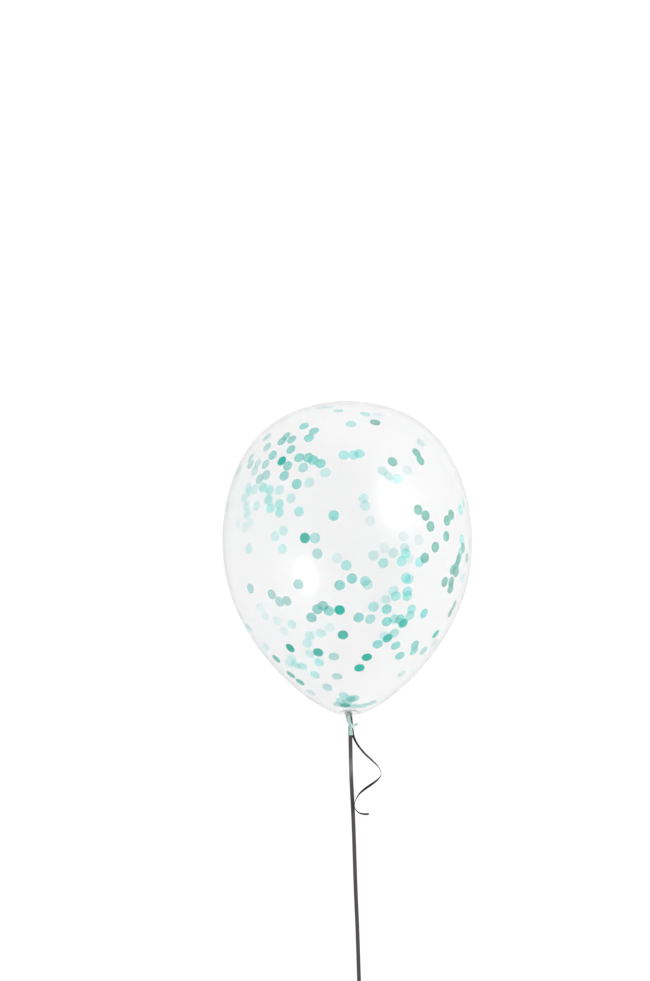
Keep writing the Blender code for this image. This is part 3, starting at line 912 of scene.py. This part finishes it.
class BALLOON_OT_ribbon(bpy.types.Operator):
    """Makes the free ribbon: the long run with its flat knot at the end, and the short curl."""

    bl_idname = "balloon.ribbon"
    bl_label = "Ribbon, curl and end knot"

    def execute(self, context):
        choices = context.scene.balloon_ribbon
        film = ribbon_material("curling_ribbon", choices.colour, choices.roughness, FILM_SHINE)
        # The curl's film gets a darker colour and less shine than the run: its colour is painted shade
        back = ribbon_material("curling_ribbon_painted_shade", choices.back, choices.roughness, CURL_SHINE)
        section = ribbon_section(RIBBON_WIDTH, choices.thickness, choices.ribs, choices.rib_height)
        run_exit = tie_exit(SOLID_THICKNESS)
        curl_exit = tie_exit(-CURL_EXIT_DROP * SOLID_THICKNESS)
        run_places = ribbon_places([(*run_exit, 0)] + RUN_ROUTE, RUN_SPACING)
        curl_places = ribbon_places([(*curl_exit, 0)] + CURL_ROUTE, CURL_SPACING)
        run = ribbon_strip("ribbon_run_film", run_places[:, :3], *roll_sides(run_places), section)
        curl = ribbon_strip("ribbon_curl_film", curl_places[:, :3], *roll_sides(curl_places), section)
        finish_piece(run, film, ["ribbon_run"])
        finish_piece(curl, back, ["ribbon_curl"])
        knot = self.end_knot(choices, run_places, section)
        finish_piece(knot, film, ["ribbon_end_knot"])
        return {"FINISHED"}

    def end_knot(self, choices, run_places, section):
        """The flat knot and the short tail that leaves it."""
        last = Vector(run_places[-1][:3])
        heading = (last - Vector(run_places[-2][:3])).normalized()
        film = choices.thickness + choices.rib_height
        layers, centre, away, face_distance, height = end_knot_layers(last, heading, film, section)
        steps = np.linspace(0.0, TAIL_LENGTH + face_distance - TAIL_SHORT, 12)
        middles = np.array([[*(centre + away * step).xy, 0.5 * height] for step in steps])
        along = np.tile(np.array(away), (len(steps), 1))
        tail = ribbon_strip("end_knot_tail", middles, along, np.cross((0.0, 0.0, 1.0), along), section)
        return join_all("ribbon_end_knot_film", layers + [tail])


class BALLOON_OT_tie(bpy.types.Operator):
    """Makes the ribbon's turns round the neck and the small knot under them."""

    bl_idname = "balloon.tie"
    bl_label = "Tie"

    def execute(self, context):
        choices = context.scene.balloon_ribbon
        film = ribbon_material("tied_ribbon", choices.colour, choices.roughness, FILM_SHINE)
        turns = self.turns(choices)
        knot = self.knot(choices)
        tie = join_all("ribbon_tie_film", [turns] + knot)
        set_down(tie, NECK_FRAME)
        finish_piece(tie, film, ["ribbon_tie"])
        return {"FINISHED"}

    def turns(self, choices):
        """Three turns of ribbon, pulled narrow, each lying partly on the last."""
        angle = np.linspace(0.0, 2.0 * math.pi * TIE_TURNS, 140)
        wrap = angle / (2.0 * math.pi * TIE_TURNS)
        radius = NECK_RADIUS + GAP + TIE_CLEARANCE + (TIE_WRAP - 2.0 * TIE_CLEARANCE) * wrap
        round_neck = angle - TIE_START
        outward = np.stack([np.cos(round_neck), np.sin(round_neck), np.zeros_like(angle)], axis=1)
        middles = np.array(Vector(neck_middle(-TIE_INSET))) + outward * radius[:, None]
        middles[:, 2] += TIE_WANDER * np.sin(5.1 * wrap + 0.6)
        sides = np.tile((0.0, 0.0, 1.0), (len(angle), 1))
        section = self.narrow_section(choices, TIE_NARROWING, 6)
        return ribbon_strip("tie_turns", middles, ways_along(middles), sides, section)

    def narrow_section(self, choices, narrowing, ribs):
        """The cut end of film that is pulled narrow, so that it has fewer, higher ribs."""
        return ribbon_section(
            narrowing * TIE_WIDTH, choices.thickness, ribs, TIE_RIB_GROWTH * choices.rib_height
        )

    def knot(self, choices):
        """The small knot: two crossing bands pulled over a core."""
        place = tie_knot_place()
        half = 0.5 * TIE_KNOT_SIZE
        rings = []
        shares = (-0.92, -0.7, -0.35, 0.0, 0.35, 0.7, 0.92)
        sizes = (0.35, 0.66, 0.84, 0.88, 0.84, 0.66, 0.35)
        for share, size in zip(shares, sizes):
            middle = (place.x, place.y, place.z + share * half * 1.1)
            rings.append((middle, size * half, 0.82 * size * half))
        pieces = [drawn_tube("tie_knot_core", rings, 18)]
        section = self.narrow_section(choices, BAND_NARROWING, 5)
        for name, lean, reach in (("tie_knot_band", 0.45, 0.98), ("tie_knot_cross", -0.75, 1.02)):
            angle = np.linspace(0.0, 2.0 * math.pi, 60)
            across = np.array((math.cos(lean), 0.0, math.sin(lean)))
            outward = np.cos(angle)[:, None] * np.array((-math.sin(lean), 0.0, math.cos(lean)))
            outward = outward + np.sin(angle)[:, None] * np.array((0.0, 0.84, 0.0))
            middles = np.array(place) + outward * half * reach * 0.94
            sides = np.tile(across, (len(angle), 1))
            pieces.append(ribbon_strip(name, middles, ways_along(middles), sides, section))
        return pieces


class BALLOON_OT_skin(bpy.types.Operator):
    """Makes the blown latex: a thin closed skin with its pucker at the neck and its flat spot below."""

    bl_idname = "balloon.skin"
    bl_label = "Latex body"

    def execute(self, context):
        choices = context.scene.balloon_latex
        skin = spun_skin("latex_body", body_outline(), BODY_TURNS)
        move_points(skin, gather)
        set_down(skin, frame_of(HALFWAY, ACROSS, -UPWARD, CROWNWARD))
        rest_on_floor(skin)
        close_shape(skin)
        apply_step(skin, "wall", "SOLIDIFY", thickness=choices.wall, offset=-1.0, use_even_offset=True)
        latex = clear_latex(choices.tint, choices.roughness, choices.clear, choices.shine)
        finish_piece(skin, latex, ["balloon"], smooth=60.0)
        return {"FINISHED"}


class BALLOON_OT_neck(bpy.types.Operator):
    """Makes the gathered neck, its knot and its rolled lip."""

    bl_idname = "balloon.neck"
    bl_label = "Neck and lip"

    def execute(self, context):
        choices = context.scene.balloon_latex
        neck = join_all("latex_neck", [self.tube(), *self.knot(), self.flap(), self.rim()])
        apply_step(neck, "one_skin", "REMESH", mode="VOXEL", voxel_size=SKIN_GRAIN)
        apply_step(neck, "soften", "SMOOTH", factor=0.5, iterations=4)
        set_down(neck, NECK_FRAME)
        latex = gathered_latex(choices.neck, choices.folds)
        finish_piece(neck, latex, ["balloon"], smooth=80.0)
        return {"FINISHED"}

    def tube(self):
        """The neck from inside the pucker to the lip's open mouth, and down again inside the mouth."""
        millimetres = [
            (-5.3, 2.3, 1.00),
            (-4.0, 2.4, 1.00),
            (-2.2, 2.45, 1.00),
            (0.5, 2.6, 0.95),
            (3.5, 2.7, 0.86),
            (7.0, 2.45, 0.80),
            (10.0, 2.1, 0.84),
            (12.5, 1.5, 0.90),
            (14.5, 1.7, 0.80),
            (18.0, 2.05, 0.68),
            (21.5, 2.3, LIP_FLATNESS),
            (24.0, 2.5, LIP_FLATNESS),
            (23.9, 2.0, LIP_FLATNESS),
            (21.0, 1.7, 0.58),
            (17.5, 1.1, 0.6),
        ]
        rings = []
        for out, half_width, flatness in millimetres:
            rings.append((neck_middle(0.001 * out), 0.001 * half_width, 0.001 * half_width * flatness))
        item = drawn_tube("neck_tube", rings, 48)
        move_points(item, self.fold)
        return item

    def fold(self, place):
        """Pulls lengthwise folds into the neck and the lip, deepest between tie and knot."""
        out = place.z
        middle = Vector(neck_middle(out))
        outs = (-0.009, -0.002, 0.004, 0.011, 0.0145, 0.021, 0.024)
        depth = float(np.interp(out, outs, (0.02, 0.10, 0.17, 0.14, 0.14, 0.07, 0.02)))
        away = place - middle
        angle = math.atan2(away.y, away.x)
        wave = math.cos(5.0 * angle + 60.0 * out + 0.7) + 0.4 * math.cos(9.0 * angle - 90.0 * out)
        return middle + away * (1.0 + depth * wave)

    def knot(self):
        """Two turns of the neck round itself."""
        pieces = []
        turns = (("knot_turn", 0.5, -0.0002, 0.0017), ("knot_cross", -0.45, 0.0007, 0.0015))
        for name, lean, shift, major in turns:
            middle = Vector(neck_middle(NECK_LENGTH)) + Vector((0.0, 0.0, shift))
            item = bead_ring(name, major, 0.5 * KNOT_TURN_THICKNESS, (32, 14), middle)
            item.rotation_euler = (0.5 * lean, lean, 0.3)
            bpy.ops.object.transform_apply(location=True, rotation=True, scale=True)
            pieces.append(item)
        return pieces

    def flap(self):
        """The fold of the lip that the knot squeezes out to the right."""
        middle = Vector(neck_middle(NECK_LENGTH))
        start = middle + Vector((0.0, 0.0, FLAP_DROP))
        tip = middle + Vector((FLAP_LENGTH, 0.0, -FLAP_RISE))
        millimetres = [
            (0.4, 1.6, 1.0),
            (2.5, 1.9, 0.95),
            (5.5, 1.8, 0.85),
            (8.0, 1.5, 0.7),
            (10.0, 1.1, 0.5),
            (11.6, 0.5, 0.3),
        ]
        rings = []
        for out, half_width, half_height in millimetres:
            place = (0.0, 0.00035 * math.sin(0.35 * out), 0.001 * out)
            rings.append((place, 0.001 * half_width, 0.001 * half_height))
        item = drawn_tube("lip_flap", rings, 24)
        along = (tip - start).normalized()
        up = Vector((0.0, 1.0, 0.0))
        set_down(item, frame_of(start, up.cross(along), up, along))
        return item

    def rim(self):
        """The rolled rim round the mouth."""
        middle = Vector(neck_middle(NECK_LENGTH + MOUTH_LENGTH))
        major = 0.5 * MOUTH_WIDTH - 0.3 * RIM_BEAD
        item = bead_ring("lip_rim", major, 0.5 * RIM_BEAD, (40, 12), middle)
        item.scale = (1.0, LIP_FLATNESS + RIM_ROUNDER, 1.0)
        bpy.ops.object.transform_apply(location=True, rotation=True, scale=True)
        return item


def wall_place(right, up, wall):
    """The place on the near or far wall that is seen so far right of and above the balloon's middle."""
    seen_x = VIEW_MIDDLE.x + right * math.cos(CAMERA_TURN) - up * math.sin(CAMERA_TURN)
    seen_y = VIEW_MIDDLE.y + right * math.sin(CAMERA_TURN) + up * math.cos(CAMERA_TURN)
    height = VIEW_HEIGHT
    for _ in range(PLACE_STEPS):
        share = (CAMERA_PLACE.z - height) / (CAMERA_PLACE.z - VIEW_HEIGHT)
        x = CAMERA_PLACE.x + (seen_x - CAMERA_PLACE.x) * share
        y = CAMERA_PLACE.y + (seen_y - CAMERA_PLACE.y) * share
        along = (y - HALFWAY.y) * math.cos(LEAN) + (height - HALFWAY.z) * math.sin(LEAN)
        along = min(max(along, -ALONG_LIMIT * BODY_LENGTH), ALONG_LIMIT * BODY_LENGTH)
        radius = float(radius_at(along))
        x = min(max(x, -ACROSS_LIMIT * radius), ACROSS_LIMIT * radius)
        rise = wall * math.sqrt(radius**2 - x**2)
        height = HALFWAY.z + CROWNWARD.z * along + UPWARD.z * rise
    slope = float(radius_at(along + 0.0005) - radius_at(along - 0.0005)) / 0.001
    normal = (ACROSS * x + UPWARD * rise) / radius - CROWNWARD * slope
    return HALFWAY + CROWNWARD * along + ACROSS * x + UPWARD * rise, normal.normalized()


class BALLOON_OT_confetti(bpy.types.Operator):
    """Makes the paper discs that cling to the inside of the latex."""

    bl_idname = "balloon.confetti"
    bl_label = "Confetti"

    def execute(self, context):
        choices = context.scene.balloon_confetti
        wall = context.scene.balloon_latex.wall
        chance = np.random.default_rng(choices.seed)
        master = self.disc()
        heaps = {paper: [] for paper in FACE_COVER}
        for rows in CONFETTI.values():
            for side, paper, *places in rows:
                for right, up in places:
                    seen = wall_place(0.001 * right, 0.001 * up, side)
                    heaps[paper].append(self.place_disc(master, chance, wall, FACE_COVER[paper], *seen))
        for paper, discs in heaps.items():
            cover = min(1.0, choices.cover * FACE_COVER[paper])
            # The discs with painted shade take its darker teal in place of the paper's two colours
            tones = (choices.dull, choices.dull) if paper == PAINTED_SHADE else (choices.base, choices.rich)
            tissue = tissue_paper(f"{paper}_tissue_paper", *tones, cover)
            piece = join_all(f"confetti_{paper}", discs)
            set_down(piece, Matrix.Identity(4))
            finish_piece(piece, tissue, [])
        bpy.data.objects.remove(master, do_unlink=True)
        return {"FINISHED"}

    def disc(self):
        """One punched disc, dished to the curve of the wall, with its dye on its points."""
        bpy.ops.object.select_all(action="DESELECT")
        bpy.ops.mesh.primitive_circle_add(vertices=DISC_SIDES, radius=DISC_RADIUS, fill_type="TRIFAN")
        item = named("paper_disc")
        dish = DISC_RADIUS**2 / BODY_DIAMETER
        move_points(item, lambda place: place + Vector((0.0, 0.0, dish if place.xy.length < 0.0001 else 0.0)))
        apply_step(item, "sheet", "SOLIDIFY", thickness=DISC_THICKNESS, offset=-1.0)
        item.data.attributes.new("dye", "FLOAT", "POINT")
        return item

    def place_disc(self, master, chance, wall, cover, place, normal):
        """A copy of the disc on the wall, turned and tilted by chance, with a little more or less dye."""
        disc = master.copy()
        disc.data = master.data.copy()
        bpy.context.scene.collection.objects.link(disc)
        tilt = Matrix.Rotation(math.radians(chance.uniform(-DISC_TILT, DISC_TILT)), 4, "X")
        turn = Matrix.Rotation(chance.uniform(0.0, 2.0 * math.pi), 4, "Z")
        inset = wall + chance.uniform(*DISC_INSET)
        face = normal.to_track_quat("Z", "Y").to_matrix().to_4x4()
        disc.matrix_world = Matrix.Translation(place - normal * inset) @ face @ turn @ tilt
        dye = cover + chance.uniform(-DYE_CHANGE, DYE_CHANGE)
        disc.data.attributes["dye"].data.foreach_set("value", [dye] * len(disc.data.vertices))
        return disc


class BALLOON_OT_stage(bpy.types.Operator):
    """Sets up the plain pale floor and the soft studio light."""

    bl_idname = "balloon.stage"
    bl_label = "Floor and light"

    def execute(self, context):
        choices = context.scene.balloon_studio
        self.floor(choices)
        self.sky(context, choices)
        self.softbox(choices)
        return {"FINISHED"}

    def floor(self, choices):
        """A wide plain floor just under what lies on it."""
        bpy.ops.object.select_all(action="DESELECT")
        bpy.ops.mesh.primitive_plane_add(size=FLOOR_SIZE, location=(0.0, 0.0, -FLOOR_DROP))
        floor = named("studio_floor")
        values = {
            "Base Color": (*choices.floor, 1.0),
            "Roughness": 0.9,
            "Specular IOR Level": 0.0,
            "Emission Color": (1.0, 1.0, 1.0, 1.0),
            "Emission Strength": choices.table,
        }
        floor.data.materials.append(new_material("matt_paper_floor", values)[0])

    def sky(self, context, choices):
        """Even white light from all round."""
        world = bpy.data.worlds.new("white_studio")
        world.use_nodes = True
        background = world.node_tree.nodes["Background"]
        background.inputs["Color"].default_value = (1.0, 1.0, 1.0, 1.0)
        background.inputs["Strength"].default_value = choices.sky
        context.scene.world = world
        context.scene.view_settings.view_transform = "Standard"

    def softbox(self, choices):
        """One large round softbox, above and to the right."""
        bpy.ops.object.select_all(action="DESELECT")
        bpy.ops.object.light_add(type="AREA", location=SOFTBOX_AIM + SOFTBOX_WAY * SOFTBOX_DISTANCE)
        softbox = named("softbox")
        softbox.rotation_euler = SOFTBOX_WAY.to_track_quat("Z", "Y").to_euler()
        softbox.data.shape = "DISK"
        softbox.data.size = choices.softbox_size
        softbox.data.energy = choices.softbox_power


OPERATORS = (
    BALLOON_OT_camera,
    BALLOON_OT_ribbon,
    BALLOON_OT_tie,
    BALLOON_OT_skin,
    BALLOON_OT_neck,
    BALLOON_OT_confetti,
    BALLOON_OT_stage,
)
CHOICES = {
    "balloon_latex": LatexChoices,
    "balloon_confetti": ConfettiChoices,
    "balloon_ribbon": RibbonChoices,
    "balloon_studio": StudioChoices,
}


class BALLOON_PT_panel(bpy.types.Panel):
    """Lists what a user may change, and the pieces in the order that they are made."""

    bl_idname = "BALLOON_PT_panel"
    bl_label = "Confetti Balloon"
    bl_space_type = "VIEW_3D"
    bl_region_type = "UI"
    bl_category = TAB

    def draw(self, context):
        for name, group in CHOICES.items():
            box = self.layout.box()
            for choice in group.__annotations__:
                box.prop(getattr(context.scene, name), choice)
        for operator in OPERATORS:
            self.layout.operator(operator.bl_idname)


def register():
    """Registers the choices, the operators and the panel."""
    for name, group in CHOICES.items():
        bpy.utils.register_class(group)
        setattr(bpy.types.Scene, name, bpy.props.PointerProperty(type=group))
    for operator in OPERATORS:
        bpy.utils.register_class(operator)
    bpy.utils.register_class(BALLOON_PT_panel)


def unregister():
    """Removes the panel, the operators and the choices."""
    bpy.utils.unregister_class(BALLOON_PT_panel)
    for operator in reversed(OPERATORS):
        bpy.utils.unregister_class(operator)
    for name, group in reversed(CHOICES.items()):
        delattr(bpy.types.Scene, name)
        bpy.utils.unregister_class(group)


def main():
    """Makes every piece in order."""
    register()
    bpy.ops.balloon.camera()
    bpy.ops.balloon.ribbon()
    bpy.ops.balloon.tie()
    bpy.ops.balloon.skin()
    bpy.ops.balloon.neck()
    bpy.ops.balloon.confetti()
    bpy.ops.balloon.stage()


if __name__ == "__main__":
    main()
